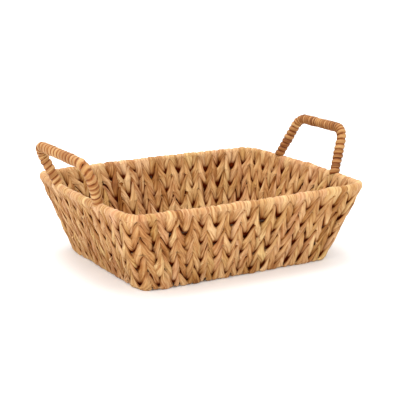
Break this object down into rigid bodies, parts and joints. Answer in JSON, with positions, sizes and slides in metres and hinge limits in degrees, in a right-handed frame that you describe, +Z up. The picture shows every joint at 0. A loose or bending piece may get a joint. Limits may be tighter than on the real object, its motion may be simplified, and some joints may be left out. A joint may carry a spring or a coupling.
{
  "type": "bread basket",
  "caption": "Rectangular woven bread basket with flared walls of flat twined plant strands over a hidden wire cage, a rolled rim and two fixed cord-wound loop handles on the short ends",
  "frame": {"origin": "on the table, under the middle of the base", "axes": "+X along the long side, from the left handle to the right handle; +Z up; the front wall faces -Y"},
  "size_m": [0.3908, 0.2902, 0.1613],
  "materials": {
    "painted_steel": "satin",
    "dried_strand": "matte",
    "handle_cord": "matte"
  },
  "bodies": {
    "root": {"rim_ring": "painted_steel", "wall_ring_upper": "painted_steel", "wall_ring_middle": "painted_steel", "wall_ring_lower": "painted_steel", "base_ring": "painted_steel", "corner_upright_front_left": "painted_steel", "corner_upright_front_right": "painted_steel", "corner_upright_back_left": "painted_steel", "corner_upright_back_right": "painted_steel", "cross_rib_left": "painted_steel", "cross_rib_middle": "painted_steel", "cross_rib_right": "painted_steel", "base_wire_1": "painted_steel", "base_wire_2": "painted_steel", "base_wire_3": "painted_steel", "base_wire_4": "painted_steel", "base_wire_5": "painted_steel", "base_wire_6": "painted_steel", "base_wire_7": "painted_steel", "handle_rod_left": "painted_steel", "handle_rod_right": "painted_steel", "handle_cord_left": "handle_cord", "handle_cord_right": "handle_cord", "weave_front": "dried_strand", "weave_right": "dried_strand", "weave_back": "dried_strand", "weave_left": "dried_strand", "weave_base": "dried_strand"}
  },
  "joints": []
}
